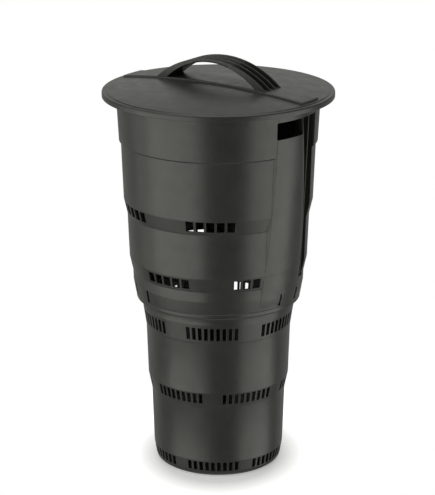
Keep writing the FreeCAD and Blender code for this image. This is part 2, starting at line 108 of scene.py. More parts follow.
# Rows of slots: the course that holds them, angle of the first group's middle, slots in a group, width,
# lift above the course's foot, height
LOWER_SLOTS = (
    ("foot band", 0.0, 9, 0.0061, 0.0011, 0.0150),
    ("waist band", 30.0, 9, 0.0061, 0.0030, 0.0165),
    ("neck band", 0.0, 9, 0.0061, 0.0043, 0.0202),
)
UPPER_SLOTS = (
    ("chest band", 30.0, 5, 0.0122, 0.0022, 0.0150),
    ("body band", 0.0, 5, 0.0122, 0.0034, 0.0160),
)

# The base's drain holes and rounded bottom, and the flange at the lower section's mouth
DRAIN_RADIUS = 0.0045
DRAIN_RING = 0.048
DRAINS = 6
BOTTOM_RISE = 0.0005
BOTTOM_ROUND = 0.004
FLANGE_FOOT_ROUND = 0.0006
FLANGE_ROUND = 0.0010

# The lip that the lower section hangs in, with its pairs of slits and the catches between them
SNAPS = 3
LIP_CHAMFER = 0.0005
LIP_HOLE = 0.11655
LIP_SEAT = 0.264
POCKET_RADIUS = 0.12085
SLIT_SPREAD = 19.0
SLIT_WIDTH = 0.0054
SLIT_FOOT = 0.2735
SLIT_HEIGHT = 0.0190
BEAD_SPREAD = 12.0
BEAD_TIP = 0.12015
BEAD_ROOT = 0.0004
BEAD_FOOT = 0.2673
BEAD_HEIGHT = 0.004

# Rim, from its root at the collar round its edge and back to the bore; the neck is its lean and height
RIM_ROOT = 0.563
RIM_NECK = (0.0006, 0.014)
RIM_NECK_ROUND = 0.012
RIM_UNDER_ROUND = 0.0012
RIM_EDGE = 0.003
RIM_EDGE_HEIGHT = 0.0075
RIM_EDGE_ROUND = 0.0014
RIM_TOP_ROUND = 0.0022
RIM_PLATE = 0.0035
RIM_INNER_ROUND = 0.0065

# Grip panels, with the tapering recess beside each hand hole and the rib that stands in it.
# Angles start at the panel's own axis. The foot, top and chamfer are a radius and a height each, the
# grip's side a width and a depth.
BLOCK_START = -26.8
BLOCK_END = 26.0
PANEL_REACH = (-26.0, 23.4)
PANEL_START = -20.3
PANEL_END = 13.0
PANEL_RAMP = 60.0
PANEL_RAMP_ROUND = 0.0003
PANEL_FOOT = (0.1295, 0.286)
PANEL_TOP = (0.15245, 0.563)
PANEL_BULGE = 0.0035
PANEL_CHAMFER = (0.0035, 0.007)
RECESS_FOOT = 0.308
RECESS_ANGLES_FOOT = (10.4, 19.4)
RECESS_ANGLES_TOP = (1.8, 15.5)
RECESS_FLOOR_FOOT = 0.1269
RECESS_FLOOR_TOP = 0.13725
RECESS_FLOOR_ROUND = 0.0015
RECESS_EDGE_ROUND = 0.0012
GRIP_SIDE_FOOT = (0.0080, 0.0004)
GRIP_SIDE_TOP = (0.0170, 0.0070)
GRIP_SIDE_SHARE = 0.6
RECESS_EDGE_SHARE = 0.5
RIB_THICKNESS = 0.0025
RIB_ROUND = 0.0007
RIB_TIP_FOOT = 0.1308
RIB_TIP_TOP = 0.14805
GRIP_ANGLES = (-20.9, 0.3)
GRIP_HEIGHT = 0.025
GRIP_CORNER = 0.003
# The hand hole's cutter, as radii and how much wider it is there than the hole
GRIP_FLARE = ((0.125, 0.0), (0.1493, 0.0), (0.1515, 0.0006), (0.1528, 0.0015), (0.160, 0.0045))
ARC_RADIUS = 0.15

# Meshing: the widest steps in degrees and metres, counts along the forms, and tolerances
COLUMN_STEP = 1.5
ROW_STEP = 0.010
FACE_COLUMNS = 14
TAIL_COLUMNS = 4
GRIP_COLUMNS = 8
BEAD_COLUMNS = 8
DRAIN_SIDES = 24
ROUND_STEPS = 6
ROUND_LIMIT = 0.45
EDGE_STEPS = 10
SHARP_ANGLE = 32.0
TINY = 1e-6
NEAR_ANGLE = 1e-4
DIGITS = 7
ANGLE_DIGITS = 5
REACH = 0.02


class WormeryBinSizes(bpy.types.PropertyGroup):
    wall: FloatProperty(name="Wall", description="Thickness of the moulded walls", default=0.003,
                        unit="LENGTH")
    lower_draft: FloatProperty(name="Lower draft", description="Lean of the lower section's plain walls",
                               default=math.radians(1.8), subtype="ANGLE")
    upper_draft: FloatProperty(name="Upper draft", description="Lean of the upper section's plain walls",
                               default=math.radians(2.1), subtype="ANGLE")
    collar_draft: FloatProperty(name="Collar draft", description="Lean of the collar under the rim",
                                default=math.radians(3.0), subtype="ANGLE")
    groups: IntProperty(name="Slot groups", description="Groups of slots around each band", default=6)
    slot_bar: FloatProperty(name="Slot bar", description="Width of the bar between two slots",
                            default=0.003, unit="LENGTH")
    slot_bevel: FloatProperty(name="Slot bevel", description="Width of the bevel round a slot",
                              default=0.0002, unit="LENGTH")


class WormeryLidSizes(bpy.types.PropertyGroup):
    thickness: FloatProperty(name="Thickness", description="Thickness of the lid", default=0.003,
                             unit="LENGTH")
    dome: FloatProperty(name="Dome", description="Rise of the dome", default=0.011, unit="LENGTH")
    edge_width: FloatProperty(name="Edge width", description="Width of the stepped edge",
                              default=0.007, unit="LENGTH")
    edge_step: FloatProperty(name="Edge step", description="Drop from the dome to its edge",
                             default=0.0012, unit="LENGTH")
    edge_round: FloatProperty(name="Edge round", description="Rounding of the outer edge",
                              default=0.003, unit="LENGTH")
    skirt: FloatProperty(name="Skirt", description="Thickness of the skirt", default=0.0025,
                         unit="LENGTH")
    strip_height: FloatProperty(name="Strip height",
                                description="Height of the raised strip across the lid", default=0.0025,
                                unit="LENGTH")
    strip_width: FloatProperty(name="Strip width", description="Width of the raised strip",
                               default=0.044, unit="LENGTH")
    strip_gap: FloatProperty(name="Strip end gap",
                             description="Distance from the strip's ends to the dome's edge",
                             default=0.004, unit="LENGTH")


class WormeryHandleSizes(bpy.types.PropertyGroup):
    width: FloatProperty(name="Width", description="Width of the strap", default=0.042, unit="LENGTH")
    half_span: FloatProperty(name="Half span", description="Half the clear span under the arch",
                             default=0.076, unit="LENGTH")
    rise: FloatProperty(name="Rise", description="Clear height under the arch", default=0.0285,
                        unit="LENGTH")
    foot_depth: FloatProperty(name="Foot depth", description="Depth of the strap at its feet",
                              default=0.018, unit="LENGTH")
    crown_depth: FloatProperty(name="Crown depth", description="Depth of the strap at its crown",
                               default=0.005, unit="LENGTH")
    web: FloatProperty(name="Web", description="Thickness under the troughs", default=0.0025,
                       unit="LENGTH")
    side: FloatProperty(name="Side", description="Thickness of the side walls", default=0.0025,
                        unit="LENGTH")
    ribs: IntProperty(name="Ribs", description="Ribs between the side walls", default=2)
    rib: FloatProperty(name="Rib", description="Thickness of a rib", default=0.002, unit="LENGTH")


class WormeryFinish(bpy.types.PropertyGroup):
    colour: FloatVectorProperty(name="Colour", description="Colour of the moulded plastic",
                                subtype="COLOR", size=3, default=(0.0425, 0.0430, 0.0402), min=0.0,
                                max=1.0)
    roughness: FloatProperty(name="Roughness", description="Roughness of the satin surface", default=0.33)
    grain: FloatProperty(name="Grain", description="Size of the moulded grain", default=0.0007,
                         unit="LENGTH")


class WormeryStudio(bpy.types.PropertyGroup):
    lens: FloatProperty(name="Lens", description="Focal length in millimetres", default=145.7)
    left: FloatProperty(name="Left light", description="Radiance of the softbox on the left",
                        default=2.08)
    far_left: FloatProperty(name="Far left light",
                            description="Radiance of the softbox beside the left one", default=0.8)
    high_left: FloatProperty(name="High left light",
                             description="Radiance of the raised softbox on the left", default=1.1)
    right: FloatProperty(name="Right light", description="Radiance of the softbox on the right",
                         default=2.0)
    back: FloatProperty(name="Back light", description="Radiance of the softbox behind", default=0.15)
    high_back: FloatProperty(name="High back light", description="Radiance of the raised softbox behind",
                             default=0.4)
    top: FloatProperty(name="Top light", description="Radiance of the softbox overhead", default=1.5)
    backdrop: FloatProperty(name="Backdrop",
                            description="Strength of the backdrop in the object's reflections",
                            default=0.15)


# Outlines

def corners_of(start, height, courses, drafts):
    # The corners of a wall, as radius, height and rounding, and the height at which each course starts
    corners = [(start, height, 0.0)]
    feet = {}
    for name, rise, widening, rounding in courses:
        radius, level, _ = corners[-1]
        feet[name] = (radius, level)
        grown = rise * math.tan(drafts[widening]) if widening in drafts else widening
        corners.append((radius + grown, level + rise, rounding))
    return corners, feet


def bend(before, corner, after):
    # A smooth curve from one point to another that a corner pulls towards itself
    return [before.lerp(corner, share).lerp(corner.lerp(after, share), share)
            for share in spread(0.0, 1.0, ROUND_STEPS)]


def soften(corners, by_length=False):
    # The outline through the corners, each one rounded by its radius, or by a length on both its sides
    places = [Vector(corner[:2]) for corner in corners]
    outline = places[:1]
    for index in range(1, len(corners) - 1):
        here = places[index]
        reach = corners[index][2]
        if reach == 0.0:
            outline.append(here)
            continue
        back = places[index - 1] - here
        onward = places[index + 1] - here
        if not by_length:
            reach *= math.tan((math.pi - back.angle(onward)) / 2)
        reach = min(reach, ROUND_LIMIT * back.length, ROUND_LIMIT * onward.length)
        outline += bend(here + back.normalized() * reach, here, here + onward.normalized() * reach)
    return outline + places[-1:]


def radius_at(outline, height):
    # The outline's radius at a height, or at its nearest end
    for low, high in zip(outline, outline[1:]):
        if low.y <= height <= high.y and high.y > low.y:
            return low.x + (high.x - low.x) * (height - low.y) / (high.y - low.y)
    return outline[-1].x if height > outline[-1].y else outline[0].x


def with_heights(outline, heights):
    # The heights of the outline's points and these heights, in order
    return sorted({round(height, DIGITS) for height in [point.y for point in outline] + heights})


def polar(radius, angle, height):
    turn = math.radians(angle)
    return Vector((radius * math.cos(turn), radius * math.sin(turn), height))


def spread(start, end, count):
    return [start + (end - start) * index / count for index in range(count + 1)]


def divided(values, step):
    # The values in order, with more between them where they are further apart than the step
    parts = []
    for low, high in zip(values, values[1:]):
        parts += spread(low, high, max(1, math.ceil((high - low) / step - TINY)))[:-1]
    return parts + values[-1:]


# Meshes

class Skin:
    """Faces given by their corners, where corners at the same place are one vertex."""

    def __init__(self):
        self.points = []
        self.places = {}
        self.faces = []

    def vertex(self, point):
        key = tuple(round(value, DIGITS) for value in point)
        if key not in self.places:
            self.places[key] = len(self.points)
            self.points.append(point)
        return self.places[key]

    def face(self, points):
        corners = []
        for corner in (self.vertex(point) for point in points):
            if not corners or corner != corners[-1]:
                corners.append(corner)
        if len(corners) > 1 and corners[0] == corners[-1]:
            corners.pop()
        if len(set(corners)) > 2:
            self.faces.append(corners)

    def strip(self, low, high, skipped=(), closed=True):
        # Quads between two rings, without the cells that are skipped
        count = len(low)
        for index in range(count if closed else count - 1):
            if index not in skipped:
                after = (index + 1) % count
                self.face([low[index], low[after], high[after], high[index]])

    def layers(self, rings, closed=True):
        # Quads between each ring and the next
        for low, high in zip(rings, rings[1:]):
            self.strip(low, high, closed=closed)

    def fill(self, loops):
        # The level area inside the first loop and outside the others
        mesh = bmesh.new()
        points = []
        edges = []
        for loop in loops:
            corners = [mesh.verts.new(point) for point in loop]
            points += loop
            edges += [mesh.edges.new(pair) for pair in zip(corners, corners[1:] + corners[:1])]
        mesh.verts.index_update()
        bmesh.ops.triangle_fill(mesh, edges=edges, use_beauty=True)
        for face in mesh.faces:
            self.face([points[corner.index] for corner in face.verts])
        mesh.free()

    def build(self, name):
        mesh = bpy.data.meshes.new(name)
        mesh.from_pydata(self.points, [], self.faces)
        work = bmesh.new()
        work.from_mesh(mesh)
        bmesh.ops.recalc_face_normals(work, faces=work.faces)
        work.to_mesh(mesh)
        work.free()
        piece = bpy.data.objects.new(name, mesh)
        bpy.context.scene.collection.objects.link(piece)
        return piece


def prism(rings):
    # A closed body through rings of points, with a flat face at each end
    skin = Skin()
    skin.layers(rings)
    skin.face(rings[0])
    skin.face(rings[-1])
    return skin


def combine(piece, tools, operation):
    # Cuts or joins the tools, which are then deleted
    for tool in tools:
        modifier = piece.modifiers.new("combine", "BOOLEAN")
        modifier.operation = operation
        modifier.solver = "EXACT"
        modifier.object = tool
    result = bpy.data.meshes.new_from_object(piece.evaluated_get(bpy.context.evaluated_depsgraph_get()))
    piece.modifiers.clear()
    old = piece.data
    piece.data = result
    result.name = old.name
    bpy.data.meshes.remove(old)
    for tool in tools:
        mesh = tool.data
        bpy.data.objects.remove(tool)
        bpy.data.meshes.remove(mesh)


def join_skins(skins, name):
    # One object from several bodies
    whole = Skin()
    for skin in skins:
        for face in skin.faces:
            whole.face([skin.points[corner] for corner in face])
    return whole.build(name)


def finish_piece(piece, body, nodes, material):
    piece.data.shade_smooth()
    piece.data.set_sharp_from_angle(angle=math.radians(SHARP_ANGLE))
    piece.data.materials.clear()
    piece.data.materials.append(material)
    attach(piece, body)
    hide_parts(*nodes)


# Slots

def on_panel(angle):
    # Whether a slot at this angle would cut into a grip panel
    turn = (angle + 90.0) % 180.0 - 90.0
    return PANEL_REACH[0] < turn < PANEL_REACH[1]


def slot_places(rows, feet, sizes, skip_panels):
    # Each slot as its two angles and its two heights
    places = []
    for name, first, count, width, lift, height in rows:
        radius, level = feet[name]
        pitch = math.degrees((width + sizes.slot_bar) / radius)
        half = math.degrees(width / radius) / 2
        for group in range(sizes.groups):
            for index in range(count):
                middle = first + group * 360.0 / sizes.groups + (index - (count - 1) / 2) * pitch
                if not (skip_panels and on_panel(middle)):
                    angles = ((middle - half) % 360.0, (middle + half) % 360.0)
                    places.append((angles, (level + lift, level + lift + height)))
    return places


def filled(angles):
    # The angles in order all the way round, with more between them where they are far apart
    angles = sorted({round(angle % 360.0, ANGLE_DIGITS) for angle in angles})
    columns = divided(angles + [angles[0] + 360.0], COLUMN_STEP)
    return [angle % 360.0 for angle in columns[:-1]]


def filled_between(places, start, end):
    # The plain wall's columns between two grip panels, at the slots' edges and between them
    edges = sorted(round(angle, ANGLE_DIGITS) for angles, _ in places for angle in angles
                   if start < angle < end)
    columns = divided([start] + edges + [end], COLUMN_STEP)
    return [angle for angle in columns if start + NEAR_ANGLE < angle < end - NEAR_ANGLE]


def within(angle, start, end):
    # Whether an angle lies from the start to the end, also where these pass the full turn
    return (angle - start + NEAR_ANGLE) % 360.0 <= (end - start) % 360.0 + 2 * NEAR_ANGLE


def slot_cells(places, columns, rows):
    # For each slot, the columns and rows of the wall that it spans, and its angles and heights
    cells = []
    for (start, end), (foot, top) in places:
        across = [index for index, angle in enumerate(columns)
                  if angle is not None and within(angle, start, end)]
        across.sort(key=lambda index: (columns[index] - start + NEAR_ANGLE) % 360.0)
        up = [index for index, height in enumerate(rows) if foot - TINY <= height <= top + TINY]
        cells.append((across, up, (start, end), (foot, top)))
    return cells


def border(across, up):
    # The cells' corners round a slot, anticlockwise
    loop = [(column, up[0]) for column in across[:-1]]
    loop += [(across[-1], row) for row in up[:-1]]
    loop += [(column, up[-1]) for column in reversed(across[1:])]
    return loop + [(across[0], row) for row in reversed(up[1:])]


def slot_sides(skin, cells, columns, rows, outline, outside, inside, wall, bevel):
    # Lines each slot, and moves the inside wall's corners to the slot's edge behind its bevel
    for across, up, (start, end), (foot, top) in cells:
        width = (end - start) % 360.0
        edge = math.degrees(bevel / radius_at(outline, foot))
        rings = ([], [], [])
        for column, row in border(across, up):
            turn = (columns[column] - start + NEAR_ANGLE) % 360.0
            angle = start + min(max(turn, edge), width - edge)
            height = min(max(rows[row], foot + bevel), top - bevel)
            radius = radius_at(outline, height)
            inside[row][column] = polar(radius - wall, angle, height)
            rings[0].append(outside[row][column])
            rings[1].append(polar(radius - bevel, angle, height))
            rings[2].append(inside[row][column])
        skin.layers(rings)


def skipped_cells(cells, row):
    # The columns whose cell above this row lies in a slot
    return {column for across, up, _, _ in cells if up[0] <= row < up[-1] for column in across[:-1]}


# Lower section

def ring(radius, height, columns):
    return [polar(radius, angle, height) for angle in columns]


def turned(points, columns):
    # The rings that an outline's points make round the axis
    return [ring(point.x, point.y, columns) for point in points]


def drain_centres():
    return [(0.0, 0.0)] + [(DRAIN_RING, angle) for angle in spread(0.0, 360.0, DRAINS)[:-1]]


def circle(centre, radius, height):
    middle = polar(centre[0], centre[1], height)
    return [middle + polar(radius, angle, 0.0) for angle in spread(0.0, 360.0, DRAIN_SIDES)[:-1]]


def lower_section(sizes):
    wall = sizes.wall
    bevel = sizes.slot_bevel
    corners, feet = corners_of(BASE_RADIUS, BASE_HEIGHT, LOWER_COURSES, {None: sizes.lower_draft})
    outline = soften(corners)
    band_radius, band_foot = feet["foot band"]
    places = slot_places(LOWER_SLOTS, feet, sizes, False)
    rows = with_heights(outline, [height for _, ends in places for height in ends])
    rows = [row for row in rows if row >= band_foot - TINY]
    columns = filled([angle for angles, _ in places for angle in angles])
    cells = slot_cells(places, columns, rows)
    outside = [ring(radius_at(outline, row), row, columns) for row in rows]
    inside = [ring(radius_at(outline, row) - wall, row, columns) for row in rows]
    skin = Skin()
    slot_sides(skin, cells, columns, rows, outline, outside, inside, wall, bevel)
    for row in range(len(rows) - 1):
        skipped = skipped_cells(cells, row)
        skin.strip(outside[row], outside[row + 1], skipped)
        skin.strip(inside[row], inside[row + 1], skipped)

    heel = turned([point for point in outline if point.y < rows[0] - TINY], columns)
    skin.layers(heel + [outside[0]])
    mouth = corners[-1][0] - wall
    top = rows[-1]
    flange = soften([(corners[-1][0], top, 0.0), (FLANGE_RADIUS, top, FLANGE_FOOT_ROUND),
                     (FLANGE_RADIUS, FLANGE_TOP, FLANGE_ROUND), (mouth, FLANGE_TOP, FLANGE_ROUND),
                     (mouth, top, 0.0)])
    skin.layers([outside[-1]] + turned(flange[1:-1], columns) + [inside[-1]])
    bottom = soften([(BASE_RADIUS - wall, wall, 0.0),
                     (band_radius - wall, wall + BOTTOM_RISE, BOTTOM_ROUND),
                     (band_radius - wall, rows[0], 0.0)])
    cove = turned(bottom[:-1], columns)
    skin.layers(cove + [inside[0]])

    levels = ((BASE_HEIGHT, bevel), (BASE_HEIGHT + bevel, 0.0), (wall - bevel, 0.0), (wall, bevel))
    bores = [[circle(centre, DRAIN_RADIUS + grow, level) for level, grow in levels]
             for centre in drain_centres()]
    for bore in bores:
        skin.layers(bore)
    skin.fill([heel[0]] + [bore[0] for bore in bores])
    skin.fill([cove[0]] + [bore[-1] for bore in bores])
    return skin.build("Lower_section")


# Upper section

def panel_radius(height):
    # The panel's upright outline: an arc between its foot and its top, with a chamfer under its foot
    foot = Vector(PANEL_FOOT)
    top = Vector(PANEL_TOP)
    if height < foot.y:
        return foot.x - PANEL_CHAMFER[0] * (foot.y - height) / PANEL_CHAMFER[1]
    share = (height - foot.y) / (top.y - foot.y)
    return foot.x + (top.x - foot.x) * share + 4.0 * PANEL_BULGE * share * (1.0 - share)


def panel_lift(base, height):
    # How far the panel stands off the stepped wall at a height
    if height < PANEL_FOOT[1] - PANEL_CHAMFER[1] or height > PANEL_TOP[1] + TINY:
        return 0.0
    return max(0.0, panel_radius(height) - base)


def ramp_angle(edge, side, radius):
    # Where the slanted plane through a top corner of the panel meets a radius
    run = (PANEL_TOP[0] - radius) / math.tan(math.radians(PANEL_RAMP))
    return edge + side * math.degrees(run / radius)


def panel_surface(angle, base, height):
    # The radius of the panel's right half at an angle, down its ramp to the wall
    face = base + panel_lift(base, height)
    if face == base:
        return base
    crest = ramp_angle(PANEL_END, 1, face)
    toe = ramp_angle(PANEL_END, 1, base)
    share = min(1.0, max(0.0, (angle - crest) / (toe - crest)))
    return face + (base - face) * share


def between(foot, top, height):
    # A value that changes evenly from the foot of the recess to its top
    share = (height - RECESS_FOOT) / (RIM_ROOT - RECESS_FOOT)
    return foot + (top - foot) * share


def arc_turn(length):
    # The angle of a length along the panel's face
    return math.degrees(length / ARC_RADIUS)


def arc_length(angle):
    return math.radians(angle) * ARC_RADIUS


def recess_edges(height, inset):
    # The angles of the recess's left and right edge at a height
    start = between(RECESS_ANGLES_FOOT[0], RECESS_ANGLES_TOP[0], height)
    end = between(RECESS_ANGLES_FOOT[1], RECESS_ANGLES_TOP[1], height)
    return start - arc_turn(inset), end + arc_turn(inset)


def quarter(angle, radius, width, depth, side):
    # A rounded edge from the surface down into the recess, or the same the other way up
    points = []
    for turn in spread(0.0, math.pi / 2, EDGE_STEPS):
        points.append((angle + side * arc_turn(width * (1.0 - math.sin(turn))),
                       radius - depth * (1.0 - math.cos(turn))))
    return points if side < 0 else points[::-1]


def recess_profile(height, base, inset):
    # One level cut through the recess, as angles and radii, from its left edge to its right edge
    start, end = recess_edges(min(max(height, RECESS_FOOT), RIM_ROOT), inset)
    left = base + panel_lift(base, height) - inset
    right = panel_surface(end, base, height) - inset
    floor = between(RECESS_FLOOR_FOOT, RECESS_FLOOR_TOP, height) - inset
    tip = floor if inset else between(RIB_TIP_FOOT, RIB_TIP_TOP, height)
    left_width = between(GRIP_SIDE_FOOT[0], GRIP_SIDE_TOP[0], height)
    deepening = (GRIP_SIDE_TOP[1] - GRIP_SIDE_FOOT[1]) * between(0.0, 1.0, height) ** 2
    left_round = min(GRIP_SIDE_FOOT[1] + deepening, GRIP_SIDE_SHARE * (left - floor))
    right_round = min(RECESS_EDGE_ROUND, RECESS_EDGE_SHARE * (right - floor))
    first = arc_length(start)
    last = arc_length(end)
    rib_start = arc_length((start + end) / 2) - RIB_THICKNESS / 2
    rib_end = arc_length((start + end) / 2) + RIB_THICKNESS / 2
    bottom = [(first, left - left_round, 0.0), (first, floor, RECESS_FLOOR_ROUND),
              (rib_start, floor, 0.0), (rib_start, tip, RIB_ROUND), (rib_end, tip, RIB_ROUND),
              (rib_end, floor, 0.0), (last, floor, RECESS_FLOOR_ROUND),
              (last, right - right_round, 0.0)]
    cut = [(arc_turn(point.x), point.y) for point in soften(bottom, by_length=True)]
    return (quarter(start, left, left_width, left_round, -1) + cut[1:-1] +
            quarter(end, right, right_round, right_round, 1))


def block_row(height, base, inset, opened):
    # One level round a grip panel, as angles and radii, and the first and last point of the recess in it
    level = height if opened else min(max(height, RECESS_FOOT), RIM_ROOT)
    profile = recess_profile(level, base, inset)
    start = profile[0][0]
    end = profile[-1][0]
    if not opened:
        profile = [(angle, panel_surface(angle, base, height) - inset)
                   for angle in spread(start, end, len(profile) - 1)]
    face = base + panel_lift(base, height)
    toe = ramp_angle(PANEL_START, -1, base)
    crest = ramp_angle(PANEL_START, -1, face)
    ramp = [(arc_length(BLOCK_START), base, 0.0), (arc_length(toe), base, PANEL_RAMP_ROUND),
            (arc_length(crest), face, PANEL_RAMP_ROUND), (arc_length(start), face, 0.0)]
    row = [(arc_turn(point.x), point.y - inset) for point in soften(ramp, by_length=True)[:-1]]
    row += [(angle, face - inset) for angle in spread(row[-1][0], start, FACE_COLUMNS)[1:-1]]
    crest, toe = (max(end, ramp_angle(PANEL_END, 1, radius)) for radius in (face, base))
    angles = [crest, toe] + spread(toe, BLOCK_END, TAIL_COLUMNS)[1:]
    tail = [(angle, panel_surface(angle, base, height) - inset) for angle in angles]
    return row + profile + tail, (len(row), len(row) + len(profile) - 1)


def wall_rows(outline, heights, shoulder, wall):
    # The upper wall's levels, and whether the recess is open there in the outer and in the inner face
    marks = [RECESS_FOOT, RECESS_FOOT - wall, PANEL_FOOT[1], PANEL_FOOT[1] - PANEL_CHAMFER[1]]
    levels = divided(with_heights(outline, heights + marks), ROW_STEP)
    rows = []
    for level in [shoulder] + [level for level in levels if level > shoulder + TINY]:
        if abs(level - RECESS_FOOT) < TINY:
            rows.append((level, False, True))
        if abs(level - RECESS_FOOT + wall) < TINY:
            rows.append((level, False, False))
        rows.append((level, level > RECESS_FOOT - TINY, level > RECESS_FOOT - wall - TINY))
    return rows


def upper_section(sizes):
    wall = sizes.wall
    drafts = {None: sizes.upper_draft, "collar": sizes.collar_draft}
    corners, feet = corners_of(LIP_RADIUS, LIP_HEIGHT, UPPER_COURSES, drafts)
    outline = soften(corners)
    places = slot_places(UPPER_SLOTS, feet, sizes, True)
    shoulder_radius, shoulder = feet["chest shoulder"]
    rows = wall_rows(outline, [height for _, ends in places for height in ends], shoulder, wall)

    block, (first, last) = block_row(RECESS_FOOT, radius_at(outline, RECESS_FOOT), 0.0, False)
    plain = filled_between(places, BLOCK_END, 180.0 + BLOCK_START)
    columns = []
    for turn in (0.0, 180.0):
        columns += [None] * len(block) + [(angle + turn) % 360.0 for angle in plain]
    half = len(columns) // 2
    recesses = [range(first + shift, last + shift) for shift in (0, half)]

    def level_ring(radius, height, inset=0.0, opened=False):
        across = block_row(height, radius, inset, opened)[0]
        across += [(angle, radius - inset) for angle in plain]
        return [polar(reach, angle + turn, height) for turn in (0.0, 180.0) for angle, reach in across]

    outside = [level_ring(radius_at(outline, row[0]), row[0], 0.0, row[1]) for row in rows]
    inside = [level_ring(radius_at(outline, row[0]), row[0], wall, row[2]) for row in rows]
    levels = [row[0] for row in rows]
    cells = slot_cells(places, columns, levels)
    skin = Skin()
    slot_sides(skin, cells, columns, levels, outline, outside, inside, wall, sizes.slot_bevel)

    def join(low, high, skipped, ledge):
        # Two rings of the wall; where the recess opens between them, one level face each closes it
        blocked = set(skipped)
        if ledge:
            for recess in recesses:
                blocked |= set(recess)
                side = list(recess) + [recess[-1] + 1]
                skin.face([low[index] for index in side] + [high[index] for index in reversed(side)])
        skin.strip(low, high, blocked)

    for row in range(len(rows) - 1):
        skipped = skipped_cells(cells, row)
        join(outside[row], outside[row + 1], skipped, rows[row][1] != rows[row + 1][1])
        join(inside[row], inside[row + 1], skipped, rows[row][2] != rows[row + 1][2])

    root = corners[-1][0]
    edge = RIM_RADIUS - RIM_EDGE
    edge_foot = RIM_TOP - RIM_EDGE_HEIGHT
    bore = root - wall
    rim = soften([(root, RIM_ROOT, 0.0), (root + RIM_NECK[0], RIM_ROOT + RIM_NECK[1], RIM_NECK_ROUND),
                  (edge, RIM_TOP - RIM_PLATE, RIM_UNDER_ROUND), (edge, edge_foot, RIM_UNDER_ROUND),
                  (RIM_RADIUS, edge_foot, RIM_EDGE_ROUND), (RIM_RADIUS, RIM_TOP, RIM_TOP_ROUND),
                  (bore, RIM_TOP, RIM_INNER_ROUND), (bore, RIM_ROOT + wall, 0.0)])
    closed_root = level_ring(root, RIM_ROOT)
    closed_bore = level_ring(root, RIM_ROOT + wall, wall)
    opened_bore = level_ring(root, RIM_ROOT + wall, wall, True)
    join(outside[-1], closed_root, (), True)
    skin.layers([closed_root] + [level_ring(*point) for point in rim[1:-1]] + [closed_bore])
    join(closed_bore, opened_bore, (), True)
    skin.strip(opened_bore, inside[-1])

    under = [(POCKET_RADIUS, LIP_SEAT), (LIP_HOLE, LIP_SEAT), (LIP_HOLE, LIP_HEIGHT + LIP_CHAMFER)]
    under += [tuple(point) for point in outline if point.y < shoulder - TINY]
    skin.layers([inside[0]] + [level_ring(*point) for point in under] + [outside[0]])
    piece = skin.build("Upper_section")
    combine(piece, [beads(shoulder_radius - wall / 2)], "UNION")
    combine(piece, [hand_holes(), slits(shoulder_radius)], "DIFFERENCE")
    return piece


def hand_holes():
    # The cutters for the two hand holes, which flare at the panel's face to round the holes' edges
    skins = []
    for turn in (0.0, 180.0):
        rings = []
        for radius, grow in GRIP_FLARE:
            start = arc_length(GRIP_ANGLES[0] - arc_turn(grow))
            end = arc_length(GRIP_ANGLES[1] + arc_turn(grow))
            foot = RIM_ROOT - GRIP_HEIGHT - grow
            middles = spread(start, end, GRIP_COLUMNS)[1:-1]
            loop = [(start, foot, GRIP_CORNER)] + [(place, foot, 0.0) for place in middles]
            loop += [(end, foot, GRIP_CORNER), (end, RIM_ROOT, GRIP_CORNER)]
            loop += [(place, RIM_ROOT, 0.0) for place in reversed(middles)]
            loop.append((start, RIM_ROOT, GRIP_CORNER))
            middle = GRIP_COLUMNS // 2
            outline = soften(loop[middle:] + loop[:middle + 1])[:-1]
            rings.append([polar(radius, arc_turn(point.x) + turn, point.y) for point in outline])
        skins.append(prism(rings))
    return join_skins(skins, "hand_holes")


def slits(radius):
    # The cutters for the pairs of slits that let the snaps spring
    skins = []
    half = SLIT_WIDTH / 2
    top = SLIT_FOOT + SLIT_HEIGHT
    for snap in range(SNAPS):
        for side in (-0.5, 0.5):
            angle = math.radians(360.0 / SNAPS * snap + side * SLIT_SPREAD)
            rotation = Matrix.Rotation(angle, 3, "Z")
            corners = ((-half, SLIT_FOOT), (half, SLIT_FOOT), (half, top), (-half, top))
            skins.append(prism([[rotation @ Vector((reach, y, z)) for y, z in corners]
                                for reach in (radius - REACH, radius + REACH)]))
    return join_skins(skins, "slits")


def beads(root):
    # The catches between the slits, inside the lip
    skins = []
    for snap in range(SNAPS):
        middle = 360.0 / SNAPS * snap
        ends = (middle - BEAD_SPREAD / 2, middle + BEAD_SPREAD / 2)
        skins.append(prism([[polar(root, angle, BEAD_FOOT), polar(BEAD_TIP, angle, BEAD_FOOT),
                             polar(root + BEAD_ROOT, angle, BEAD_FOOT + BEAD_HEIGHT)]
                            for angle in spread(*ends, BEAD_COLUMNS)]))
    return join_skins(skins, "beads")


# Lid

# The ring under the lid that keeps it centred, the dome and skirt, and the strip across it
LOCATING_RADIUS = 0.14815
LOCATING_THICKNESS = 0.0025
LOCATING_HEIGHT = 0.006
LID_COLUMNS = 180
DOME_RINGS = 26
UNDERSIDE_RINGS = 24
DOME_EDGE = 0.003
STEP_ROUND = 0.0010
LID_SOFT = 0.0008
LID_CORNER = 0.0006
STRIP_ROUND = 0.0010
STRIP_ROUND_SHARES = (0.0, 0.13, 0.5, 1.0)
STRIP_ROWS = 8
STRIP_COLUMNS = 64
STRIP_ROOT = 0.004
HOLLOW_ROOT = 0.008


def dome_circle(half_span, rise):
    # The radius of an arc with this span and rise, and its centre's height from the ends of the arc
    radius = (half_span ** 2 + rise ** 2) / (2.0 * rise)
    return radius, rise - radius


def dome_height(sizes, along, lift=0.0):
    # The height of the dome's top at a distance from the axis, or of a face that is lifted from it
    radius, centre = dome_circle(LID_RADIUS - sizes.edge_width, sizes.dome)
    return RIM_TOP + sizes.thickness + lift + centre + math.sqrt(radius ** 2 - along ** 2)


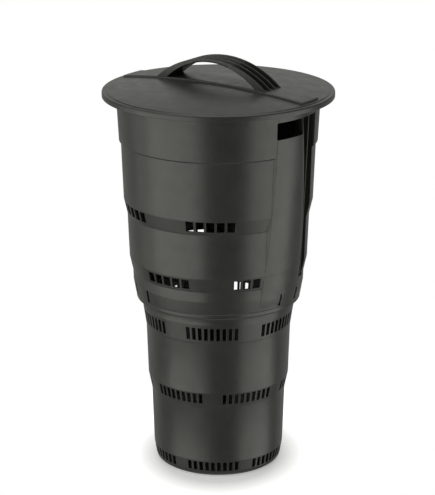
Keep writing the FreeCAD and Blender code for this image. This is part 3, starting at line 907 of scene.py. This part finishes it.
def lid(sizes):
    columns = spread(0.0, 360.0, LID_COLUMNS)[:-1]
    dome = LID_RADIUS - sizes.edge_width
    crest = dome - DOME_EDGE
    top = RIM_TOP + sizes.thickness
    step = top - sizes.edge_step
    skirt = LID_RADIUS - sizes.skirt
    locating = LOCATING_RADIUS - LOCATING_THICKNESS
    locating_foot = RIM_TOP - LOCATING_HEIGHT
    under = dome_height(sizes, locating, -sizes.thickness)
    edge = soften([(crest, dome_height(sizes, crest), 0.0), (dome, top, LID_SOFT),
                   (dome + sizes.edge_step, step, STEP_ROUND), (LID_RADIUS, step, sizes.edge_round),
                   (LID_RADIUS, SKIRT_FOOT, LID_SOFT), (skirt, SKIRT_FOOT, LID_SOFT),
                   (skirt, RIM_TOP, LID_CORNER), (LOCATING_RADIUS, RIM_TOP, LID_CORNER),
                   (LOCATING_RADIUS, locating_foot, LID_SOFT), (locating, locating_foot, LID_SOFT),
                   (locating, under, 0.0)])
    upper = [Vector((radius, dome_height(sizes, radius))) for radius in spread(0.0, crest, DOME_RINGS)]
    lower = [Vector((radius, dome_height(sizes, radius, -sizes.thickness)))
             for radius in reversed(spread(0.0, locating, UNDERSIDE_RINGS)[:-1])]
    skin = Skin()
    skin.layers(turned(upper + edge[1:] + lower, columns))
    piece = skin.build("Lid")
    combine(piece, [strip_body(sizes, 0.0)], "UNION")
    combine(piece, [strip_body(sizes, sizes.thickness), tab_slots()], "DIFFERENCE")
    return piece


def rounded_spread(reach, count):
    # Places from one end of the strip to the other, closer together in the rounding at each end
    drops = [STRIP_ROUND * share for share in STRIP_ROUND_SHARES]
    middles = spread(-reach + STRIP_ROUND, reach - STRIP_ROUND, count)[1:-1]
    return [-reach + drop for drop in drops] + middles + [reach - drop for drop in reversed(drops)]


def strip_body(sizes, inset):
    # The raised strip across the lid, or with an inset the hollow under it
    half = sizes.strip_width / 2 - inset
    reach = LID_RADIUS - sizes.edge_width - sizes.strip_gap - inset
    lift = sizes.strip_height - inset
    root = HOLLOW_ROOT if inset else STRIP_ROOT

    def sunk(distance):
        short = max(0.0, STRIP_ROUND - distance)
        return STRIP_ROUND - math.sqrt(max(0.0, STRIP_ROUND ** 2 - short ** 2))

    top = []
    bottom = []
    for y in rounded_spread(half, STRIP_ROWS):
        end = math.sqrt(reach ** 2 - y ** 2)
        along = rounded_spread(end, STRIP_COLUMNS)
        drops = [max(sunk(half - abs(y)), sunk(end - abs(x))) for x in along]
        top.append([Vector((x, y, dome_height(sizes, x, lift) - drop)) for x, drop in zip(along, drops)])
        bottom.append([Vector((x, y, dome_height(sizes, x, -root))) for x in along])
    skin = Skin()
    skin.layers(top, closed=False)
    skin.layers(bottom, closed=False)
    for end in (0, -1):
        skin.strip(top[end], bottom[end], closed=False)
        skin.strip([row[end] for row in top], [row[end] for row in bottom], closed=False)
    return skin.build("strip")


# Handle

TAB_WIDTH = 0.024
TAB_THICKNESS = 0.0022
TAB_SETBACK = 0.0009
TAB_ROOT = 0.001
TAB_DROP = 0.005
TAB_BARB = 0.0012
TAB_CLEARANCE = 0.0003
# The rounding of the strap's edges; under its sides, the size and how far along it the middle lies
STRAP_SOFT = 0.0007
UNDER_EDGE = (0.0016, 0.3125)
ARCH_STEPS = 96
SEAT_HALVINGS = 60


def box_skin(low, high):
    corners = [(low[0], low[1]), (high[0], low[1]), (high[0], high[1]), (low[0], high[1])]
    return prism([[Vector((x, y, z)) for x, y in corners] for z in (low[2], high[2])])


def tab_skin(side, grow):
    # A tab under one foot of the handle, or with some growth the slot for it in the lid
    lid_sizes = bpy.context.scene.wormery_lid
    span = bpy.context.scene.wormery_handle.half_span
    low = dome_height(lid_sizes, span, lid_sizes.strip_height - lid_sizes.thickness) - TAB_DROP
    high = dome_height(lid_sizes, span, lid_sizes.strip_height) + TAB_ROOT
    near = span + TAB_SETBACK - grow
    far = span + TAB_SETBACK + TAB_THICKNESS + grow
    half = TAB_WIDTH / 2 + grow
    ends = sorted((side * near, side * far))
    return box_skin((ends[0], -half, low), (ends[1], half, high))


def barb_skin(side):
    # The barb at the foot of a tab, which catches under the strip
    lid_sizes = bpy.context.scene.wormery_lid
    span = bpy.context.scene.wormery_handle.half_span
    face = span + TAB_SETBACK + TAB_THICKNESS
    lift = lid_sizes.strip_height - lid_sizes.thickness
    top = dome_height(lid_sizes, face + TAB_BARB, lift) - TAB_CLEARANCE
    low = dome_height(lid_sizes, span, lift) - TAB_DROP
    corners = [(face - TAB_BARB, top), (face + TAB_BARB, top), (face, low), (face - TAB_BARB, low)]
    return prism([[Vector((side * x, y, z)) for x, z in corners]
                  for y in (-TAB_WIDTH / 2, TAB_WIDTH / 2)])


def tab_slots():
    return join_skins([tab_skin(side, TAB_CLEARANCE) for side in (-1, 1)], "tab_slots")


def eased(place, part, offset, across, along, size=STRAP_SOFT, share=0.3):
    # A corner of the strap's section, cut off in three points from across it to along its depth
    return [(place + across * size, part, offset),
            (place + across * share * size, part, offset + along * share * size),
            (place, part, offset + along * size)]


def comb(sizes):
    # The strap's section: across it, then the share of its depth, then a distance from there
    half = sizes.width / 2
    trough = (sizes.width - 2 * sizes.side - sizes.ribs * sizes.rib) / (sizes.ribs + 1)
    points = eased(-half, 0.0, 0.0, 1, 1, *UNDER_EDGE) + eased(-half, 1.0, 0.0, 1, -1)[::-1]
    left = -half + sizes.side
    for _ in range(sizes.ribs + 1):
        right = left + trough
        points += eased(left, 1.0, 0.0, -1, -1) + eased(left, 0.0, sizes.web, 1, 1)[::-1]
        points += eased(right, 0.0, sizes.web, -1, 1) + eased(right, 1.0, 0.0, 1, -1)[::-1]
        left = right + sizes.rib
    return points + eased(half, 1.0, 0.0, -1, -1) + eased(half, 0.0, 0.0, -1, 1, *UNDER_EDGE)[::-1]


def seat_angle(radius, centre, lid_sizes):
    # The turn from the crown at which an arc of the arch meets the strip on the lid
    low = 0.0
    high = math.pi / 2
    for _ in range(SEAT_HALVINGS):
        turn = (low + high) / 2
        seat = dome_height(lid_sizes, radius * math.sin(turn), lid_sizes.strip_height)
        low, high = (turn, high) if centre + radius * math.cos(turn) > seat else (low, turn)
    return low


def lid_handle(sizes, lid_sizes):
    base = HANDLE_TOP - sizes.rise - sizes.crown_depth
    arcs = []
    for depth, crown in ((0.0, 0.0), (sizes.foot_depth, sizes.crown_depth)):
        radius, centre = dome_circle(sizes.half_span + depth, sizes.rise + crown)
        arcs.append((radius, base + centre, seat_angle(radius, base + centre, lid_sizes)))
    section = comb(sizes)
    rings = []
    for share in spread(-1.0, 1.0, ARCH_STEPS):
        low, high = (Vector((radius * math.sin(share * turn), 0.0,
                             centre + radius * math.cos(share * turn)))
                     for radius, centre, turn in arcs)
        way = (high - low).normalized()
        rings.append([low.lerp(high, part) + way * offset + Vector((0.0, y, 0.0))
                      for y, part, offset in section])
    piece = prism(rings).build("Lid_handle")
    tabs = join_skins([tab_skin(side, 0.0) for side in (-1, 1)], "tabs")
    barbs = join_skins([barb_skin(side) for side in (-1, 1)], "barbs")
    combine(piece, [tabs, barbs], "UNION")
    return piece


# Plastic

# Noises in the plastic, as their size, detail and roughness, and what they change
CLOUD_NOISE = (0.045, 4.0, 0.6)
CLOUD_SPAN = (0.25, 0.75)
CLOUD_TONES = (0.88, 1.14)
RUB_NOISE = (0.020, 6.0, 0.65)
RUB_ROUGHNESS = (-0.05, 0.06)
GRAIN_NOISE = (2.0, 0.5)
GRAIN_RELIEF = {"Strength": 0.10, "Distance": 0.0002}
WAVE_NOISE = (0.060, 1.0, 0.4)
WAVE_RELIEF = {"Strength": 0.06, "Distance": 0.0012}
PLASTIC_IOR = 1.49


def node(tree, kind, **settings):
    made = tree.nodes.new(kind)
    for name, value in settings.items():
        if name in made.inputs:
            made.inputs[name].default_value = value
        else:
            setattr(made, name, value)
    return made


def noise_node(tree, place, size, detail, roughness):
    made = node(tree, "ShaderNodeTexNoise", Scale=1.0 / size, Detail=detail, Roughness=roughness)
    tree.links.new(place, made.inputs["Vector"])
    return made.outputs["Fac"]


def ranged(tree, value, low, high, from_low=0.3, from_high=0.7):
    made = node(tree, "ShaderNodeMapRange", **{"From Min": from_low, "From Max": from_high,
                                               "To Min": low, "To Max": high})
    tree.links.new(value, made.inputs["Value"])
    return made.outputs["Result"]


def moulded_plastic(name, finish, seed):
    # Satin plastic: a fine grain, slight cloudiness from the mould's flow, and faint rubbed patches
    material = bpy.data.materials.new(name)
    material.use_nodes = True
    tree = material.node_tree
    shader = tree.nodes["Principled BSDF"]
    shader.inputs["IOR"].default_value = PLASTIC_IOR
    shifted = node(tree, "ShaderNodeMapping", Location=(seed, 2.0 * seed, 3.0 * seed))
    tree.links.new(node(tree, "ShaderNodeTexCoord").outputs["Object"], shifted.inputs["Vector"])
    place = shifted.outputs["Vector"]

    ramp = node(tree, "ShaderNodeValToRGB")
    for stop, position, tone in zip(ramp.color_ramp.elements, CLOUD_SPAN, CLOUD_TONES):
        stop.position = position
        stop.color = tuple(tone * part for part in finish.colour) + (1.0,)
    tree.links.new(noise_node(tree, place, *CLOUD_NOISE), ramp.inputs["Fac"])
    tree.links.new(ramp.outputs["Color"], shader.inputs["Base Color"])

    rub = noise_node(tree, place, *RUB_NOISE)
    roughness = ranged(tree, rub, *(finish.roughness + change for change in RUB_ROUGHNESS))
    tree.links.new(roughness, shader.inputs["Roughness"])

    fine = node(tree, "ShaderNodeBump", **GRAIN_RELIEF)
    broad = node(tree, "ShaderNodeBump", **WAVE_RELIEF)
    tree.links.new(noise_node(tree, place, finish.grain, *GRAIN_NOISE), fine.inputs["Height"])
    tree.links.new(noise_node(tree, place, *WAVE_NOISE), broad.inputs["Height"])
    tree.links.new(broad.outputs["Normal"], fine.inputs["Normal"])
    tree.links.new(fine.outputs["Normal"], shader.inputs["Normal"])
    return material


# Stage

CAMERA_PLACE = (1.6684, -2.3938, 1.2549)
CAMERA_TARGET = (0.0, 0.0, 0.3371)
CAMERA_SHIFT = -0.00175
CAMERA_AZIMUTH = -55.1
CAMERA_SENSOR = 36.0
CAMERA_REACH = 60.0
LIGHT_COLOUR = (1.0, 1.01, 0.94)
LIGHT_DISTANCE = 4.0
# The lowest and highest points of the axis that a softbox is aimed at
LIGHT_AIM = (0.1, 0.5)
# Softboxes as their first and last azimuth from the camera's, and their foot and top
SOFTBOXES = {
    "left": ((-86.0, -20.0), (-2.32, 0.5)),
    "far_left": ((-112.0, -85.0), (-1.4, 0.5)),
    "high_left": ((-100.0, -20.0), (0.5, 3.1)),
    "right": ((38.0, 98.0), (-2.75, 0.9)),
    "back": ((122.0, 238.0), (-3.0, 0.9)),
    "high_back": ((145.0, 215.0), (0.9, 3.1)),
}
TOP_HEIGHT = 2.4
TOP_SIZE = 2.2
# How far behind and below the object the backdrop and the table show in its sheen
BACKDROP_SPAN = (-0.3, 0.6)
TABLE_SPAN = (-0.97, -0.80)
TABLE_SHEEN = 0.8
FLOOR_RADIUS = 0.30
FLOOR_COLUMNS = 72
FLOOR_DROP = 0.0002
FLOOR_WHITE = 0.90
# The board's glow at the object, dimmed there as a painted shadow, and the distances between which it
# grows to white; the stretch draws the painted shadow further towards the camera, as a painted reflection
# of the base
PAINTED_SHADOW_GLOW = 0.35
SHADOW_REACH = (0.100, 0.160)
SHADOW_STRETCH = (0.86, 1.09, 1.0)


def aim(thing, target):
    thing.rotation_euler = (Vector(target) - thing.location).to_track_quat("-Z", "Y").to_euler()


def camera(settings):
    data = bpy.data.cameras.new("Camera")
    data.lens = settings.lens
    data.sensor_width = CAMERA_SENSOR
    data.shift_x = CAMERA_SHIFT
    data.clip_end = CAMERA_REACH
    made = bpy.data.objects.new("Camera", data)
    made.location = CAMERA_PLACE
    aim(made, CAMERA_TARGET)
    bpy.context.scene.collection.objects.link(made)
    bpy.context.scene.camera = made


def area_light(name, place, width, height, radiance):
    data = bpy.data.lights.new(name, "AREA")
    data.shape = "RECTANGLE"
    data.size = width
    data.size_y = height
    data.energy = math.pi * width * height * radiance
    data.color = LIGHT_COLOUR
    made = bpy.data.objects.new(name, data)
    made.location = place
    made.visible_camera = False
    bpy.context.scene.collection.objects.link(made)
    return made


def softbox(name, azimuths, heights, radiance):
    # A soft light round the object, from one azimuth to another, counted from the camera's
    start, end = azimuths
    low, high = heights
    width = 2.0 * LIGHT_DISTANCE * math.tan(math.radians(end - start) / 2)
    middle = (low + high) / 2
    place = polar(LIGHT_DISTANCE, CAMERA_AZIMUTH + (start + end) / 2, middle)
    made = area_light(name, place, width, high - low, radiance)
    aim(made, (0.0, 0.0, min(LIGHT_AIM[1], max(LIGHT_AIM[0], middle))))


def greater(tree, first, second):
    made = node(tree, "ShaderNodeMath", operation="MAXIMUM")
    tree.links.new(first, made.inputs[0])
    tree.links.new(second, made.inputs[1])
    return made.outputs[0]


def world(backdrop):
    # White for the camera and through the slots; the plastic's sheen shows it behind and below the object
    made = bpy.data.worlds.new("Studio")
    bpy.context.scene.world = made
    made.use_nodes = True
    tree = made.node_tree
    shader = tree.nodes["Background"]
    shader.inputs["Color"].default_value = (1.0, 1.0, 1.0, 1.0)
    rays = node(tree, "ShaderNodeLightPath")
    way = node(tree, "ShaderNodeTexCoord").outputs["Generated"]
    behind = node(tree, "ShaderNodeVectorMath", operation="DOT_PRODUCT")
    tree.links.new(way, behind.inputs[0])
    behind.inputs[1].default_value = polar(-1.0, CAMERA_AZIMUTH, 0.0)
    share = ranged(tree, behind.outputs["Value"], 0.0, backdrop, *BACKDROP_SPAN)
    height = node(tree, "ShaderNodeSeparateXYZ")
    tree.links.new(way, height.inputs[0])
    table = ranged(tree, height.outputs["Z"], TABLE_SHEEN, 0.0, *TABLE_SPAN)
    sheen = node(tree, "ShaderNodeMath", operation="MULTIPLY")
    tree.links.new(greater(tree, share, table), sheen.inputs[0])
    tree.links.new(rays.outputs["Is Glossy Ray"], sheen.inputs[1])
    seen = greater(tree, rays.outputs["Is Camera Ray"], rays.outputs["Is Transmission Ray"])
    tree.links.new(greater(tree, seen, sheen.outputs[0]), shader.inputs["Strength"])


def floor():
    # A white board that clips to white for the camera, apart from the shadow at the foot of the object,
    # which is partly cast and partly painted by dimming the board's glow there
    skin = Skin()
    columns = spread(0.0, 360.0, FLOOR_COLUMNS)[:-1]
    skin.layers([ring(radius, BASE_HEIGHT - FLOOR_DROP, columns)
                 for radius in (0.0, BASE_RADIUS, FLOOR_RADIUS)])
    made = skin.build("Floor")
    made.rotation_euler.z = math.radians(CAMERA_AZIMUTH)
    material = bpy.data.materials.new("White_board")
    material.use_nodes = True
    tree = material.node_tree
    shader = tree.nodes["Principled BSDF"]
    shader.inputs["Roughness"].default_value = 1.0
    shader.inputs["Specular IOR Level"].default_value = 0.0
    shader.inputs["Emission Color"].default_value = (1.0, 1.0, 1.0, 1.0)
    shader.inputs["Base Color"].default_value = (FLOOR_WHITE, FLOOR_WHITE, FLOOR_WHITE, 1.0)
    stretched = node(tree, "ShaderNodeMapping", Scale=SHADOW_STRETCH)
    tree.links.new(node(tree, "ShaderNodeTexCoord").outputs["Object"], stretched.inputs["Vector"])
    length = node(tree, "ShaderNodeVectorMath", operation="LENGTH")
    tree.links.new(stretched.outputs["Vector"], length.inputs[0])
    # Painted shadow: the glow is weakest next to the object and grows to white away from it
    painted_shadow_glow = ranged(tree, length.outputs["Value"], PAINTED_SHADOW_GLOW, 1.0, *SHADOW_REACH)
    tree.links.new(painted_shadow_glow, shader.inputs["Emission Strength"])
    rays = node(tree, "ShaderNodeLightPath")
    seen = greater(tree, rays.outputs["Is Camera Ray"], rays.outputs["Is Transmission Ray"])
    mix = node(tree, "ShaderNodeMixShader")
    tree.links.new(seen, mix.inputs["Fac"])
    tree.links.new(node(tree, "ShaderNodeBsdfTransparent").outputs[0], mix.inputs[1])
    tree.links.new(shader.outputs[0], mix.inputs[2])
    tree.links.new(mix.outputs[0], tree.nodes["Material Output"].inputs["Surface"])
    made.data.materials.append(material)


# Operators

class WORMERY_OT_lower_section(bpy.types.Operator):
    """Build the lower section: the slotted pot with its base, drain holes and flange"""
    bl_idname = "wormery.lower_section"
    bl_label = "Lower section"

    def execute(self, context):
        material = moulded_plastic("Lower_plastic", context.scene.wormery_finish, seed=0.31)
        piece = lower_section(context.scene.wormery_bin)
        finish_piece(piece, "bin", ["lower_section"], material)
        return {"FINISHED"}


class WORMERY_OT_upper_section(bpy.types.Operator):
    """Build the upper section: the slotted wall with its rim, grip panels and snap lip"""
    bl_idname = "wormery.upper_section"
    bl_label = "Upper section"

    def execute(self, context):
        material = moulded_plastic("Upper_plastic", context.scene.wormery_finish, seed=0.57)
        piece = upper_section(context.scene.wormery_bin)
        finish_piece(piece, "bin", ["upper_section"], material)
        return {"FINISHED"}


class WORMERY_OT_lid(bpy.types.Operator):
    """Build the domed lid with its stepped edge, skirt, raised strip and locating ring"""
    bl_idname = "wormery.lid"
    bl_label = "Lid"

    def execute(self, context):
        material = moulded_plastic("Lid_plastic", context.scene.wormery_finish, seed=0.83)
        piece = lid(context.scene.wormery_lid)
        finish_piece(piece, "lid", ["lid"], material)
        return {"FINISHED"}


class WORMERY_OT_lid_handle(bpy.types.Operator):
    """Build the arched strap handle with its ribs, troughs and tabs"""
    bl_idname = "wormery.lid_handle"
    bl_label = "Lid handle"

    def execute(self, context):
        material = moulded_plastic("Handle_plastic", context.scene.wormery_finish, seed=1.07)
        piece = lid_handle(context.scene.wormery_handle, context.scene.wormery_lid)
        finish_piece(piece, "lid", ["lid_handle"], material)
        return {"FINISHED"}


class WORMERY_OT_stage(bpy.types.Operator):
    """Set up the floor, lights, world and camera"""
    bl_idname = "wormery.stage"
    bl_label = "Studio"

    def execute(self, context):
        settings = context.scene.wormery_studio
        camera(settings)
        for name, (azimuths, heights) in SOFTBOXES.items():
            softbox(name.capitalize() + "_softbox", azimuths, heights, getattr(settings, name))
        area_light("Top_softbox", (0.0, 0.0, TOP_HEIGHT), TOP_SIZE, TOP_SIZE, settings.top)
        world(settings.backdrop)
        floor()
        context.scene.view_settings.view_transform = "Standard"
        return {"FINISHED"}


class WORMERY_PT_panel(bpy.types.Panel):
    bl_label = "Wormery"
    bl_idname = "WORMERY_PT_panel"
    bl_space_type = "VIEW_3D"
    bl_region_type = "UI"
    bl_category = "Wormery"

    def draw(self, context):
        for group in GROUPS:
            settings = getattr(context.scene, group)
            box = self.layout.box()
            for name in settings.__annotations__:
                box.prop(settings, name)
        for name in OPERATORS:
            self.layout.operator(name)


OPERATORS = ("wormery.lower_section", "wormery.upper_section", "wormery.lid", "wormery.lid_handle",
             "wormery.stage")
GROUPS = {
    "wormery_bin": WormeryBinSizes,
    "wormery_lid": WormeryLidSizes,
    "wormery_handle": WormeryHandleSizes,
    "wormery_finish": WormeryFinish,
    "wormery_studio": WormeryStudio,
}
CLASSES = tuple(GROUPS.values()) + (WORMERY_OT_lower_section, WORMERY_OT_upper_section, WORMERY_OT_lid,
                                    WORMERY_OT_lid_handle, WORMERY_OT_stage, WORMERY_PT_panel)


def register():
    for made in CLASSES:
        bpy.utils.register_class(made)
    for name, group in GROUPS.items():
        setattr(bpy.types.Scene, name, PointerProperty(type=group))


def unregister():
    for name in GROUPS:
        delattr(bpy.types.Scene, name)
    for made in reversed(CLASSES):
        bpy.utils.unregister_class(made)


def main():
    register()
    bpy.ops.wormery.stage()
    bpy.ops.wormery.lower_section()
    bpy.ops.wormery.upper_section()
    bpy.ops.wormery.lid()
    bpy.ops.wormery.lid_handle()


if __name__ == "__main__":
    main()
